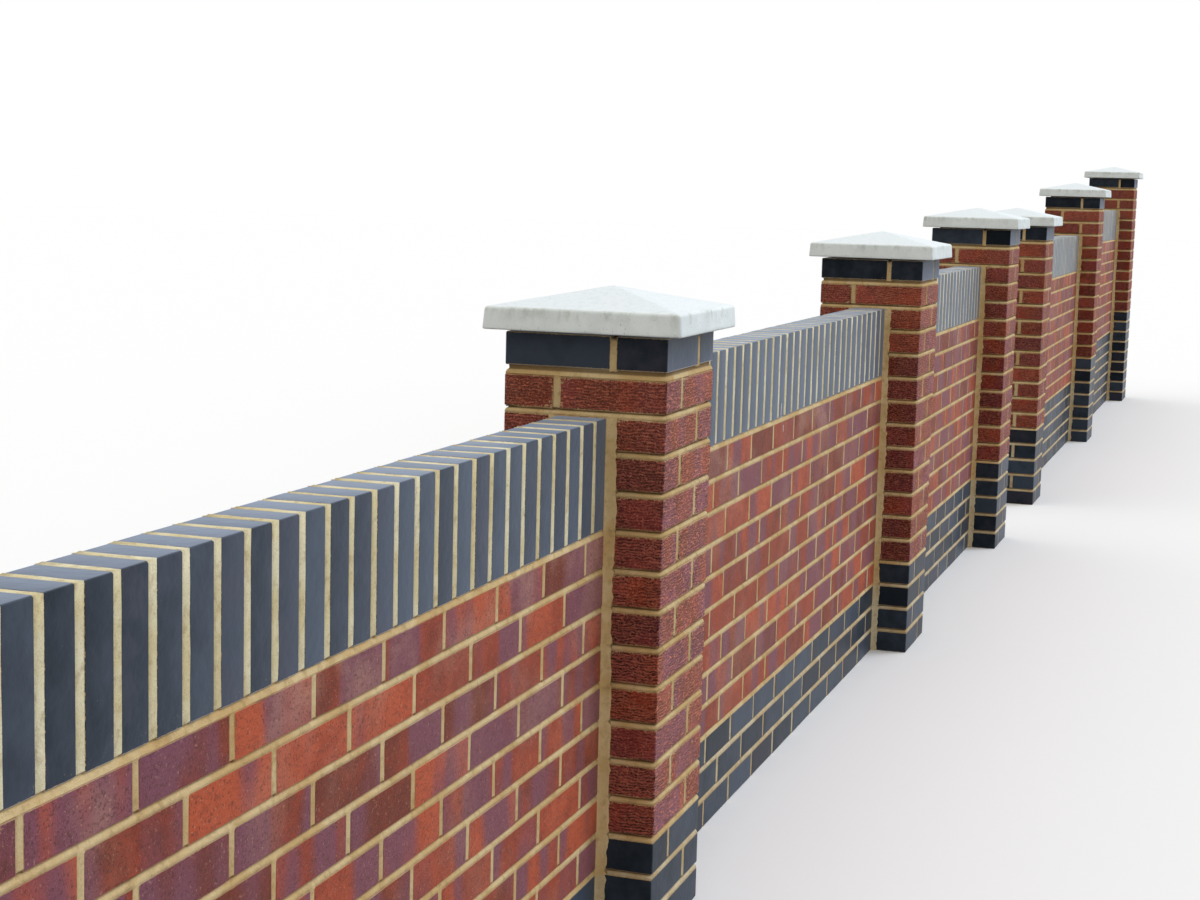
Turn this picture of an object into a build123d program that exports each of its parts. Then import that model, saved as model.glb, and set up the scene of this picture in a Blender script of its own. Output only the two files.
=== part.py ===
"""A brick garden wall, stepped uphill in bays between capped square piers.

Seven piers, one and a half bricks square, stand on one level footing line. Five bays
of half-brick walling fill the spans between them, and one span is left open as a
gateway for a footpath. Below the red facing brickwork every pier and bay has a plinth
of blue engineering brick. Each bay is finished with a course of blue bricks on end,
and each pier with one blue band course under a cast concrete cap.

The ground rises along the wall, so each span starts one or two whole courses higher
than the one before. The plinths make up the difference down to the footing line.

X runs uphill along the wall, Y from the street towards the garden, Z upwards.
The origin is under the middle of the wall, at the foot of the brickwork.
"""
import os

from build123d import *

# One brick and its mortar joint
BRICK_LENGTH = 215.0
BRICK_WIDTH = 102.5
BRICK_HEIGHT = 65.0
JOINT = 10.0

# What the brick sets: a course upwards, a stretcher along the wall, a square pier
COURSE = BRICK_HEIGHT + JOINT
STRETCHER = BRICK_LENGTH + JOINT
PIER_WIDTH = STRETCHER + BRICK_WIDTH
SOLDIER_COURSE = BRICK_LENGTH + JOINT

# Courses of the lowest pier, how far the others stand above it, and each bay below its pier
LOWEST_PLINTH_COURSES = 2
PIER_RED_COURSES = 12
PIER_RISES = (0, 1, 2, 3, 3, 5, 7)
BAY_DROP_COURSES = 1

# Each span from pier to pier in whole bricks, with None where the gateway is
SPAN_BRICK_COUNTS = (11, 11, 8, None, 11, 11)
GATEWAY_WIDTH = 1022.5

# Cast concrete caps
CAP_WIDTH = 400.0
CAP_SHOULDER_WIDTH = 388.0
CAP_EDGE_HEIGHT = 44.0
CAP_RISE = 40.0
CAP_PEAK_WIDTH = 12.0
CAP_ROUNDING = 10.0
DRIP_INSET = 12.0
DRIP_WIDTH = 8.0
DRIP_DEPTH = 5.0


def block(x, z, length, width, height):
    """A box that starts at x and z and is centred on the line of the wall."""
    at_corner = (Align.MIN, Align.CENTER, Align.MIN)
    return Pos(x, 0, z) * Box(length, width, height, align=at_corner)


def span_length(bricks):
    """Clear length from pier to pier: whole bricks, with a joint at each end."""
    return GATEWAY_WIDTH if bricks is None else bricks * STRETCHER + JOINT


def plinth_top(rise):
    """Top of the plinth of a pier, and of the bay on its uphill side."""
    return (LOWEST_PLINTH_COURSES + rise) * COURSE - JOINT


def cap_section():
    """The cap cut through its middle: drafted sides and two low slopes to a small flat."""
    foot, shoulder, peak = CAP_WIDTH / 2, CAP_SHOULDER_WIDTH / 2, CAP_PEAK_WIDTH / 2
    top = CAP_EDGE_HEIGHT + CAP_RISE
    right_side = [(foot, 0), (shoulder, CAP_EDGE_HEIGHT), (peak, top)]
    left_side = [(-x, z) for x, z in reversed(right_side)]
    return make_face(Polyline(*right_side, *left_side, close=True))


def pier_cap():
    """A square cap that stands on the XY plane, centred on the Z axis.

    The section runs both ways, and the cap is what the two runs share. Its corners and
    the line between sides and slopes are rounded, and a drip groove runs underneath.
    """
    along_x = extrude(Plane.YZ * cap_section(), CAP_WIDTH / 2, both=True)
    along_y = extrude(Plane.XZ * cap_section(), CAP_WIDTH / 2, both=True)
    cap = along_x & along_y

    corners_and_shoulder = cap.edges().filter_by_position(
        Axis.Z, 0, CAP_EDGE_HEIGHT, inclusive=(False, True)
    )
    cap = fillet(corners_and_shoulder, CAP_ROUNDING)

    groove_outside = CAP_WIDTH - 2 * DRIP_INSET
    groove_inside = groove_outside - 2 * DRIP_WIDTH
    ring = Rectangle(groove_outside, groove_outside) - Rectangle(groove_inside, groove_inside)
    return cap - extrude(ring, DRIP_DEPTH)


def pier(x, rise, cap):
    """The four pieces of one pier, whose downhill face stands at x."""
    shaft_z = plinth_top(rise)
    band_z = shaft_z + PIER_RED_COURSES * COURSE
    band_height = COURSE + JOINT
    return {
        "plinth": block(x, 0, PIER_WIDTH, PIER_WIDTH, shaft_z),
        "shaft": block(x, shaft_z, PIER_WIDTH, PIER_WIDTH, band_z - shaft_z),
        "band": block(x, band_z, PIER_WIDTH, PIER_WIDTH, band_height),
        "cap": Pos(x + PIER_WIDTH / 2, 0, band_z + band_height) * cap,
    }


def bay(x, length, rise):
    """The three pieces of one bay, which starts at x against the pier of this rise."""
    panel_z = plinth_top(rise)
    pier_top = panel_z + (PIER_RED_COURSES + 1) * COURSE
    coping_top = pier_top - BAY_DROP_COURSES * COURSE
    coping_z = coping_top - SOLDIER_COURSE
    return {
        "plinth": block(x, 0, length, BRICK_WIDTH, panel_z),
        "panel": block(x, panel_z, length, BRICK_WIDTH, coping_z - panel_z),
        "coping": block(x, coping_z, length, BRICK_WIDTH, SOLDIER_COURSE),
    }


def garden_wall():
    """Every piece of the wall by name, from the downhill end to the uphill one."""
    spans = [span_length(bricks) for bricks in SPAN_BRICK_COUNTS]
    cap = pier_cap()
    pieces = {}
    x = -(sum(spans) + len(PIER_RISES) * PIER_WIDTH) / 2
    bays = 0
    for number, rise in enumerate(PIER_RISES, start=1):
        for name, solid in pier(x, rise, cap).items():
            pieces[f"pier_{number}_{name}"] = solid
        x += PIER_WIDTH
        if number > len(SPAN_BRICK_COUNTS):
            break
        length = spans[number - 1]
        if SPAN_BRICK_COUNTS[number - 1] is not None:
            bays += 1
            for name, solid in bay(x, length, rise).items():
                pieces[f"bay_{bays}_{name}"] = solid
        x += length
    return pieces


os.makedirs("parts", exist_ok=True)
for node, solid in garden_wall().items():
    export_step(solid, f"parts/{node}.step")
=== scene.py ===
# %% [markdown]
# # A stepped garden wall in two colours of brick
# The wall climbs a slope in bays between square piers. Red facing bricks stand on a
# plinth of blue engineering bricks. Blue bricks on end finish each bay, and each pier
# has one blue course under a pale cast concrete cap.
#
# The solid model gives the true size and place of each piece. This lesson lays the
# bricks, the mortar and the finishes around it, in metres and in the same frame: X runs
# uphill along the wall, Y from its front to its back, and Z upwards.

# %% Load the solid model
import math
import zlib

import bpy
import numpy as np
from mathutils import Matrix, Vector


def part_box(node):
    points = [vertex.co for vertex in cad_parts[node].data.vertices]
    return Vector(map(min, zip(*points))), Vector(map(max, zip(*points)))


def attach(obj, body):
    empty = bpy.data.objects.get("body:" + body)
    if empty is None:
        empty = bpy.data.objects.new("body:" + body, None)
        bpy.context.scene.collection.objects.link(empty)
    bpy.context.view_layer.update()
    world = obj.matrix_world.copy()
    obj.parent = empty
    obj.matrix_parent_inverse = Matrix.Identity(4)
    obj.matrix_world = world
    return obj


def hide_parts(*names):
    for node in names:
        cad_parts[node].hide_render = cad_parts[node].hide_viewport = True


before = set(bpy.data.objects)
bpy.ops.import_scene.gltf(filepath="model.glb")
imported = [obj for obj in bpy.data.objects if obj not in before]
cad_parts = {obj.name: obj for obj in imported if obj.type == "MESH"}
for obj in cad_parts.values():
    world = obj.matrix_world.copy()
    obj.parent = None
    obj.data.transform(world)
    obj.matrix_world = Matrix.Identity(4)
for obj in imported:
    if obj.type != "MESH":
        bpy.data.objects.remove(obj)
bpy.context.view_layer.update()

# %% [markdown]
# ## Camera
# The picture is taken at eye height, close in front of the wall, and looks uphill along
# it. A camera could be aimed with a constraint. Three angles are plainer here: how far
# it turns towards the wall, how far it looks down, and how far it leans.

# %% Place the camera
CAMERA_AT = Vector((-8.3847, -1.2538, 1.4718))
TURN = math.radians(18.4025)
LOOK_DOWN = math.radians(7.3064)
LEAN = math.radians(1.4911)
FOCAL_LENGTH, SENSOR_WIDTH = 61.05, 36.0

forward = Vector((math.cos(TURN), math.sin(TURN), -math.tan(LOOK_DOWN))).normalized()
level_right = forward.cross(Vector((0, 0, 1))).normalized()
level_up = level_right.cross(forward)
right = math.cos(LEAN) * level_right + math.sin(LEAN) * level_up
up = math.cos(LEAN) * level_up - math.sin(LEAN) * level_right

lens = bpy.data.cameras.new("eye_height_camera")
lens.sensor_width = SENSOR_WIDTH
lens.lens = FOCAL_LENGTH
lens.clip_start = 0.05
lens.clip_end = 200.0
camera = bpy.data.objects.new("eye_height_camera", lens)
bpy.context.scene.collection.objects.link(camera)
turned = Matrix((right, up, -forward)).transposed().to_4x4()
camera.matrix_world = Matrix.Translation(CAMERA_AT) @ turned
bpy.context.scene.camera = camera
print("camera at", tuple(CAMERA_AT))

# %% [markdown]
# ## Light
# The day was overcast, so nothing throws a hard shadow. Three area lamps could stand
# round the wall, but each would fade along its fifteen metres. An even world stands for
# the cloud instead. A little more light comes from uphill and in front. A cool sun lamp
# with a very wide angle gives that soft direction, so the faces that look downhill stay
# in shade. The world looks white to the camera. Light Path tells its rays from those
# that light.

# %% Hang the lamp
bpy.context.scene.view_settings.view_transform = "Standard"
KEY_FROM = Vector((0.50, -0.66, 0.56)).normalized()
KEY_COLOUR = (0.80, 0.92, 1.08)
KEY_STRENGTH = 1.35
KEY_SPREAD = math.radians(40)

key = bpy.data.lights.new("soft_key", "SUN")
key.energy = KEY_STRENGTH
key.color = KEY_COLOUR
key.angle = KEY_SPREAD
key_lamp = bpy.data.objects.new("soft_key", key)
key_lamp.rotation_mode = "QUATERNION"
key_lamp.rotation_quaternion = KEY_FROM.to_track_quat("Z", "Y")
bpy.context.scene.collection.objects.link(key_lamp)
print("lamp strength:", KEY_STRENGTH)


# %% Tell the rays apart
def seen_directly(tree):
    """1 where the camera, a reflection or a clear material looks, and 0 for other rays."""
    path = tree.nodes.new("ShaderNodeLightPath")
    seen = path.outputs["Is Camera Ray"]
    for ray in ("Is Glossy Ray", "Is Transmission Ray"):
        either = tree.nodes.new("ShaderNodeMath")
        either.operation = "MAXIMUM"
        tree.links.new(seen, either.inputs[0])
        tree.links.new(path.outputs[ray], either.inputs[1])
        seen = either.outputs[0]
    return seen


# %% Light from all round
FILL_COLOUR = (1.0, 0.98, 0.90)
FILL_STRENGTH = 0.85

world = bpy.data.worlds.new("studio")
world.use_nodes = True
bpy.context.scene.world = world
strength = world.node_tree.nodes.new("ShaderNodeMapRange")
strength.inputs["To Min"].default_value = FILL_STRENGTH
strength.inputs["To Max"].default_value = 1.0
world.node_tree.links.new(seen_directly(world.node_tree), strength.inputs["Value"])
daylight = world.node_tree.nodes.new("ShaderNodeMix")
daylight.data_type = "RGBA"
daylight.inputs[6].default_value = (*FILL_COLOUR, 1.0)
daylight.inputs[7].default_value = (1.0, 1.0, 1.0, 1.0)
world.node_tree.links.new(seen_directly(world.node_tree), daylight.inputs[0])
background = world.node_tree.nodes["Background"]
world.node_tree.links.new(daylight.outputs[2], background.inputs["Color"])
world.node_tree.links.new(strength.outputs["Result"], background.inputs["Strength"])
print("daylight strength:", FILL_STRENGTH)

# %% [markdown]
# ## Floor
# The floor looks pale to the camera, yet throws little light back, as a dark one would.
# A grey floor would darken the picture and a white one would light the wall from below,
# so the same node gives it one colour for the camera and another for the light.

# %% Lay the floor
FLOOR_SIZE = 160
FLOOR_LIT = (0.20, 0.20, 0.20, 1.0)
FLOOR_SEEN = (0.955, 0.945, 0.97, 1.0)

bpy.ops.mesh.primitive_plane_add(size=FLOOR_SIZE, location=(0, 0, 0))
floor = bpy.context.object
floor.name = "studio_floor"
floor_paint = bpy.data.materials.new("studio_floor")
floor_paint.use_nodes = True
floor_tree = floor_paint.node_tree
floor_shade = floor_tree.nodes.new("ShaderNodeMix")
floor_shade.data_type = "RGBA"
floor_shade.inputs[6].default_value = FLOOR_LIT
floor_shade.inputs[7].default_value = FLOOR_SEEN
floor_tree.links.new(seen_directly(floor_tree), floor_shade.inputs[0])
floor_shader = floor_tree.nodes["Principled BSDF"]
floor_tree.links.new(floor_shade.outputs[2], floor_shader.inputs["Base Color"])
floor_shader.inputs["Roughness"].default_value = 1.0
floor_shader.inputs["Specular IOR Level"].default_value = 0.0
floor.data.materials.append(floor_paint)
print("floor:", FLOOR_SIZE, "metres square")

# %% [markdown]
# ## The brick as a measure
# Everything on this wall follows from one brick and its joint: a course is a brick height
# and a joint, a stretcher is a brick length and a joint, and a pier is a stretcher and a
# brick width. Each piece is placed from the box of its solid, so only these few sizes
# are written here.

# %% Brick sizes
BRICK_LENGTH = 0.215
BRICK_WIDTH = 0.1025
BRICK_HEIGHT = 0.065
JOINT = 0.010
COURSE = BRICK_HEIGHT + JOINT
STRETCHER = BRICK_LENGTH + JOINT
PIER_WIDTH = STRETCHER + BRICK_WIDTH
ARRIS = 0.0028
PIERS, BAYS = range(1, 8), range(1, 6)
print("course", COURSE, "stretcher", STRETCHER, "pier", PIER_WIDTH)

# %% [markdown]
# ## One kind of mesh for bricks and mortar
# A brick with worn arrises and a body of mortar with hollow joints are both boxes whose
# sides are divided by lines. A bevel modifier on 1,400 bricks would be slow, and a
# subdivided cube would round them like soap. So one helper makes the skin of a box from
# the lines along X, Y and Z. The lines are close together only where the form bends.


# %% The skin of a divided box
ALL_SIDES = [(axis, side) for axis in range(3) for side in (0, 1)]


def sheet_faces(number):
    """Four-sided faces between the rows and columns of a sheet of point numbers."""
    corners = (number[:-1, :-1], number[1:, :-1], number[1:, 1:], number[:-1, 1:])
    return np.stack(corners, axis=-1).reshape(-1, 4)


def box_skin(lines, sides=ALL_SIDES):
    """Points and four-sided faces of a box divided along X, Y and Z at the given lines.

    Sides names those that get faces, as (axis, 0 for the low side or 1 for the high one).
    """
    number = np.arange(math.prod(len(line) for line in lines))
    number = number.reshape([len(line) for line in lines])
    faces = []
    for axis, side in sides:
        quads = sheet_faces(np.take(number, -side, axis=axis))
        faces.append(quads[:, ::-1] if (side == 0) != (axis == 1) else quads)
    used, faces = np.unique(np.concatenate(faces), return_inverse=True)
    points = np.stack(np.meshgrid(*lines, indexing="ij"), axis=-1).reshape(-1, 3)[used]
    return points, faces.reshape(-1, 4)


# %% [markdown]
# ## A pile of bricks for each piece
# The bricks of one piece are joined in one mesh, because a separate object for each would
# be slow to draw and to export. Each point remembers three things for the finishes: its
# place in its own brick, how far the nearest mortar joint is, and three numbers of luck
# that give the brick a colour of its own. The finishes of a piece have numbers: first
# its mortar, then its brick, and then any others.


# %% Collect bricks and mortar
MORTAR, BRICK, EXTRA = 0, 1, 2


class Pile:
    """The bricks and mortar of one piece, collected before they become a mesh.

    Its luck follows from its name, so each piece comes out the same every time.
    """

    def __init__(self, name):
        self.name = name
        self.rng = np.random.default_rng(zlib.crc32(name.encode()))
        self.points, self.faces, self.slots = [], [], []
        self.places, self.gaps, self.lucks = [], [], []
        self.count = 0
        self.bricks = 0

    def add(self, points, faces, slot, place=None, gap=None, luck=(0, 0, 0)):
        self.points.append(points)
        self.faces.append(faces + self.count)
        self.slots.append(np.full(len(faces), slot))
        self.places.append(points if place is None else place)
        self.gaps.append(np.ones(len(points)) if gap is None else gap)
        self.lucks.append(np.tile(luck, (len(points), 1)))
        self.count += len(points)


# %% [markdown]
# A real brick is a little long or short, sits a little proud or askew, and has lost some
# of its arrises. These small errors make brickwork look laid by hand. The faces keep
# their flat look, because only the arris points are moved.


# %% Lay one brick
SIZE_FAULT = 0.0006
TURN_FAULT, MOST_TURN = 0.0016, 0.003
PLACE_FAULT, MOST_PLACE = 0.0003, 0.0006
HARD_WEAR, SOFT_WEAR, MOST_WEAR = 0.00018, 0.0009, 0.0035
CHIPPED_SHARE, CHIP_SIZES = 0.006, (0.001, 0.003)
WEAR_SHAPE = 1.5
NOTHING = 1e-9


def lay_brick(pile, low, high, cells, bare, worn=HARD_WEAR):
    """Adds one brick that fills the box from low to high, less its small faults.

    Cells says how often it is divided along X, Y and Z. Bare lists its sides that no
    mortar covers, as (axis, 0 for the low side or 1). Worn says how much its arrises
    have lost, in metres.
    """
    rng = pile.rng
    low, high = np.array(low), np.array(high)
    half = (high - low) / 2 - rng.uniform(0, SIZE_FAULT, 3)
    core = half - ARRIS
    lines = []
    for k in range(3):
        middle = np.linspace(-core[k], core[k], cells[k] + 1)
        lines.append(np.concatenate(([-half[k]], middle, [half[k]])))
    place, faces = box_skin(lines)
    inner = np.clip(place, -core, core)
    outward = place - inner
    rounded = inner + ARRIS * outward / np.linalg.norm(outward, axis=1)[:, None]
    on_arris = (np.abs(outward) > NOTHING).sum(axis=1) > 1
    wear = rng.gamma(WEAR_SHAPE, worn, len(rounded))
    chips = rng.random(len(rounded)) < CHIPPED_SHARE
    wear = np.clip(wear + chips * rng.uniform(*CHIP_SIZES, len(rounded)), 0, MOST_WEAR)
    rounded -= on_arris[:, None] * wear[:, None] * np.sign(outward)
    turn, tip = np.clip(rng.normal(0, TURN_FAULT, 2), -MOST_TURN, MOST_TURN)
    laid = rounded.copy()
    laid[:, 0] += -turn * rounded[:, 1] + tip * rounded[:, 2]
    laid[:, 1] += turn * rounded[:, 0]
    laid[:, 2] -= tip * rounded[:, 0]
    shift = np.clip(rng.normal(0, PLACE_FAULT, 3), -MOST_PLACE, MOST_PLACE)
    centre = (low + high) / 2 + shift
    gap = np.ones(len(place))
    for k in range(3):
        for side, reach in ((0, place[:, k] + half[k]), (1, half[k] - place[:, k])):
            if (k, side) not in bare:
                gap = np.minimum(gap, reach)
    pile.add(laid + centre, faces, BRICK, place, gap, rng.random(3))
    pile.bricks += 1


# %% [markdown]
# ## Mortar
# Mortar fills the middle of the wall and every joint. The upright joints are pressed
# slightly hollow. The level ones are struck with the edge of the trowel: deep under the
# brick above and flush with the brick below, so that they throw off the rain. That throws
# a dark line along the top of each course. The joint under a cap is raked out.
#
# Cutting grooves with booleans would leave ragged meshes. Here the mortar is one divided
# box for each piece, which sinks to the depth of a table along each joint, and the
# bricks stand out of it. Each point remembers its depth, and the finish paints shade on
# the deep part, where the bricks shadow it. Only the open sides get faces: a hidden
# bottom or top would pull the shading at the rim of the piece towards itself.


# %% Measures of a joint
# Lines across an upright joint, lines across a level one, and its depth at each of these
JOINT_LINES = np.array([-9.5, -6.2, 0.0, 6.2, 9.5]) / 1000
BED_LINES = np.array([-9.5, -5.5, 0.2, 3.8, 6.0, 9.5]) / 1000
BED_DEPTHS = np.array([6.0, 0.8, 2.6, 6.2, 7.0, 6.0]) / 1000
MORTAR_BACK = 0.0010
HOLLOW = 0.0024
HOLLOW_REACH = 0.0062
BEHIND_BRICKS = 0.006
RAKED_OUT = 0.028
MORTAR_ROUGH = 0.00025
WIDE_CELL, FINE_CELL = 0.2, 0.05
CLOSEST_LINES = 0.0004
NEXT_LINE = 0.0005
SLACK = 0.002
ON_FACE = 1e-6
print("deepest part of a level joint:", BED_DEPTHS.max())


# %% Divide the mortar
def solid_box(node):
    """Lowest and highest corner of a solid, to a hundredth of a millimetre."""
    return tuple(np.round(np.array(corner, float), 5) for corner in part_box(node))


def cut_lines(low, high, joints, widest, around=JOINT_LINES):
    """Lines from low to high: those round each joint, and others so that no gap is wider."""
    at_joints = [j + around for j in joints]
    lines = np.unique(np.round(np.concatenate([[low, high], *at_joints]), 5))
    lines = lines[(lines >= low) & (lines <= high)]
    keep = [lines[0]]
    for line in lines[1:]:
        gap = line - keep[-1]
        extra = int(gap // widest) if gap > widest else 0
        start = keep[-1]
        keep.extend(start + gap * (i + 1) / (extra + 1) for i in range(extra))
        keep.append(line)
    keep = np.array(keep)
    close = np.diff(keep, prepend=-1e9) < CLOSEST_LINES
    close[-1] = False
    return keep[~close]


# %% Shape the mortar
def groove(distance, reach):
    """How far a joint is hollowed at this distance from its middle."""
    return HOLLOW * np.clip(1 - (distance / reach) ** 2, 0, 1)


def mortar_body(
    pile, low, high, open_sides, lines, beds, uprights,
    struck=1.0, pressed=1.0, wide=1.0, bare_top=False,
):
    """Adds a box of mortar that is divided at the given lines.

    Beds are the heights of its level joints. Uprights are (axis, side, along, place,
    bottom, top): the face that each cuts, the axis it is measured along and its ends.
    Struck scales the depth of the level joints, pressed the depth of the upright ones
    and wide their width. With bare_top the highest joint is raked out.
    """
    points, faces = box_skin(lines, open_sides)
    depth = np.full(len(points), BEHIND_BRICKS)
    reach = HOLLOW_REACH * wide
    for axis, side, along, place, bottom, top in uprights:
        plane = (low, high)[side][axis]
        from_joint = np.abs(points[:, along] - place)
        here = (np.abs(points[:, axis] - plane) < ON_FACE) & (from_joint < reach + NEXT_LINE)
        here &= (points[:, 2] > bottom - SLACK) & (points[:, 2] < top + SLACK)
        depth[here] = pressed * (MORTAR_BACK + groove(from_joint[here], reach))
    for bed in beds:
        above = points[:, 2] - bed
        here = np.abs(above) < BED_LINES[-1] - NEXT_LINE
        depth[here] = np.interp(above[here], BED_LINES, BED_DEPTHS * struck)
    if bare_top:
        depth = np.where(points[:, 2] > high[2] - JOINT, RAKED_OUT, depth)
    depth += pile.rng.normal(0, MORTAR_ROUGH, len(points))
    moved = points.copy()
    for axis, side in open_sides:
        plane = (low, high)[side][axis]
        here = np.abs(points[:, axis] - plane) < ON_FACE
        moved[here, axis] += depth[here] if side == 0 else -depth[here]
    pile.add(moved, faces, MORTAR, gap=depth)


# %% [markdown]
# ## From a pile to a mesh
# Blender averages the normals at each point. On a box with narrow rounded arrises that
# makes the flat faces look swollen. Weighting each face by its area keeps the broad faces
# flat and gives all the turn to the arris. A Weighted Normal modifier does the same, but
# it would have to be applied to each piece, so the sum is done here for the whole mesh.


# %% Make the mesh
def broad_normals(points, faces):
    """A normal for each point, in which broad faces count for more than narrow ones."""
    first = points[faces[:, 2]] - points[faces[:, 0]]
    second = points[faces[:, 3]] - points[faces[:, 1]]
    weighted = np.cross(first, second)
    normals = np.zeros_like(points)
    for corner in range(4):
        np.add.at(normals, faces[:, corner], weighted)
    length = np.linalg.norm(normals, axis=1)[:, None]
    return normals / np.maximum(length, 1e-12)


def quad_mesh(name, points, faces, slots, materials):
    """A smooth mesh from points and four-sided faces."""
    mesh = bpy.data.meshes.new(name)
    mesh.from_pydata(points, [], faces.tolist())
    for material in materials:
        mesh.materials.append(material)
    mesh.polygons.foreach_set("material_index", slots.astype(np.int32))
    mesh.polygons.foreach_set("use_smooth", np.ones(len(faces), bool))
    mesh.update()
    mesh.normals_split_custom_set_from_vertices(broad_normals(points, faces))
    return mesh


def finish_piece(mesh, node):
    """Puts a mesh in the scene, in place of one solid of the model."""
    piece = bpy.data.objects.new(mesh.name, mesh)
    bpy.context.scene.collection.objects.link(piece)
    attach(piece, "root")
    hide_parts(node)


def finish_pile(pile, node, materials):
    """Turns a pile into the piece that stands for one solid."""
    points = np.concatenate(pile.points)
    points[:, 2] = np.maximum(points[:, 2], 0.0)
    faces = np.concatenate(pile.faces)
    mesh = quad_mesh(pile.name, points, faces, np.concatenate(pile.slots), materials)
    for note, rows in (("brick_place", pile.places), ("brick_luck", pile.lucks)):
        values = np.concatenate(rows).astype(np.float32).ravel()
        mesh.attributes.new(note, "FLOAT_VECTOR", "POINT").data.foreach_set("vector", values)
    gaps = np.concatenate(pile.gaps).astype(np.float32)
    mesh.attributes.new("joint_gap", "FLOAT", "POINT").data.foreach_set("value", gaps)
    finish_piece(mesh, node)
    print(f"{pile.name}: {pile.bricks} bricks, {2 * len(faces)} triangles")


# %% [markdown]
# ## Finishes
# Every surface here is baked clay, mortar or concrete, and all of them are patterns in
# three dimensions, so they need no unwrapping and run true round each corner. Object
# coordinates give them their place, in metres. Generated ones run from 0 at the foot of
# a piece to 1 at its top, for weathering that depends on height.
#
# A short class keeps the node trees readable: each method adds a node or two and hands
# back the output. Values that are the same all over stay on the shader itself.


# %% Colours as they are read on a screen
def shade(red, green, blue):
    """A colour as it is read on a screen, from 0 to 255, as the shader wants it."""
    parts = []
    for part in (red, green, blue):
        part /= 255
        parts.append(part / 12.92 if part <= 0.04045 else ((part + 0.055) / 1.055) ** 2.4)
    return (*parts, 1.0)


# %% A short way to write node trees
class Finish:
    """One procedural material and short ways to add nodes to it."""

    def __init__(self, name, roughness, ior):
        self.material = bpy.data.materials.new(name)
        self.material.use_nodes = True
        self.tree = self.material.node_tree
        self.shader = self.tree.nodes["Principled BSDF"]
        self.shader.inputs["Roughness"].default_value = roughness
        self.shader.inputs["IOR"].default_value = ior
        coordinates = self.tree.nodes.new("ShaderNodeTexCoord")
        self.spot = coordinates.outputs["Object"]
        self.up_the_piece = self.parts(coordinates.outputs["Generated"])[2]

    def feed(self, socket, value):
        """Joins an output to a socket, or sets the socket to a plain value."""
        if isinstance(value, bpy.types.NodeSocket):
            self.tree.links.new(value, socket)
        else:
            socket.default_value = value

    def note(self, name, kind="Vector"):
        """What the mesh remembers under this name."""
        node = self.tree.nodes.new("ShaderNodeAttribute")
        node.attribute_name = name
        return node.outputs[kind]

    def sums(self, how, first, second=0.0):
        node = self.tree.nodes.new("ShaderNodeMath")
        node.operation = how
        self.feed(node.inputs[0], first)
        self.feed(node.inputs[1], second)
        return node.outputs[0]

    def times(self, first, second):
        return self.sums("MULTIPLY", first, second)

    def plus(self, first, second):
        return self.sums("ADD", first, second)

    def swing(self, pattern, size):
        """A pattern round a half, brought to swing round nothing by up to half this size."""
        return self.times(self.sums("SUBTRACT", pattern, 0.5), size)

    def vectors(self, how, first, second=(0, 0, 0)):
        node = self.tree.nodes.new("ShaderNodeVectorMath")
        node.operation = how
        self.feed(node.inputs[0], first)
        self.feed(node.inputs[1], second)
        return node.outputs[0]

    def parts(self, vector):
        node = self.tree.nodes.new("ShaderNodeSeparateXYZ")
        self.feed(node.inputs[0], vector)
        return node.outputs

    def grain(self, vector, scale, detail=2.0, roughness=0.5):
        """A cloudy pattern between about 0.3 and 0.7."""
        node = self.tree.nodes.new("ShaderNodeTexNoise")
        self.feed(node.inputs["Vector"], vector)
        node.inputs["Scale"].default_value = scale
        node.inputs["Detail"].default_value = detail
        node.inputs["Roughness"].default_value = roughness
        return node.outputs[0]

    def drawn_out(self, scales, detail, roughness=0.5):
        """A cloudy pattern with a scale of its own along X, Y and Z."""
        return self.grain(self.vectors("MULTIPLY", self.spot, scales), 1.0, detail, roughness)

    def step(self, value, low, high, start=0.0, end=1.0):
        """A soft step from start to end as value goes from low to high."""
        node = self.tree.nodes.new("ShaderNodeMapRange")
        node.interpolation_type = "SMOOTHSTEP"
        for socket, number in zip(node.inputs, (value, low, high, start, end)):
            self.feed(socket, number)
        return node.outputs["Result"]

    def mix(self, share, first, second):
        node = self.tree.nodes.new("ShaderNodeMix")
        node.data_type = "RGBA"
        self.feed(node.inputs[0], share)
        self.feed(node.inputs[6], first)
        self.feed(node.inputs[7], second)
        return node.outputs[2]

    def colour(self, value):
        self.feed(self.shader.inputs["Base Color"], value)

    def dust(self, weight, tint, roughness=0.4):
        """A film of dust, which shows as a pale sheen where a face is seen at a low angle."""
        self.shader.inputs["Sheen Weight"].default_value = weight
        self.shader.inputs["Sheen Roughness"].default_value = roughness
        self.shader.inputs["Sheen Tint"].default_value = (*tint, 1.0)

    def relief(self, height, depth):
        """Bumps of this depth in metres, where height goes from 0 to 1."""
        node = self.tree.nodes.new("ShaderNodeBump")
        node.inputs["Strength"].default_value = 1.0
        node.inputs["Distance"].default_value = depth
        self.feed(node.inputs["Height"], height)
        self.feed(self.shader.inputs["Normal"], node.outputs[0])


# %% [markdown]
# ### Mortar
# Mortar dries with a paler skin, and its sand shows. One noise could do for both, but
# the eye reads clouds, dirt and grains at three sizes, so there are three. Mortar gets
# smeared a little over the brick arrises when the joints are pressed. So the brick
# finishes need it too: they read how far the nearest joint is and let the mortar creep
# over the arris. The bricks on end stand in a paler mix, and rain that splashes up has
# greyed the joints of the plinth.

# %% Mortar colours
BUFF = (shade(208, 174, 121), shade(224, 198, 152))
PALE_BUFF = (shade(220, 204, 160), shade(236, 226, 194))
GREY_BUFF = (shade(202, 178, 138), shade(220, 204, 174))
MORTAR_DARK = shade(150, 118, 72)
# Painted shade: the colour of deep mortar in the shadow of the bricks
MORTAR_PAINTED_SHADE = shade(80, 58, 34)


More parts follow.
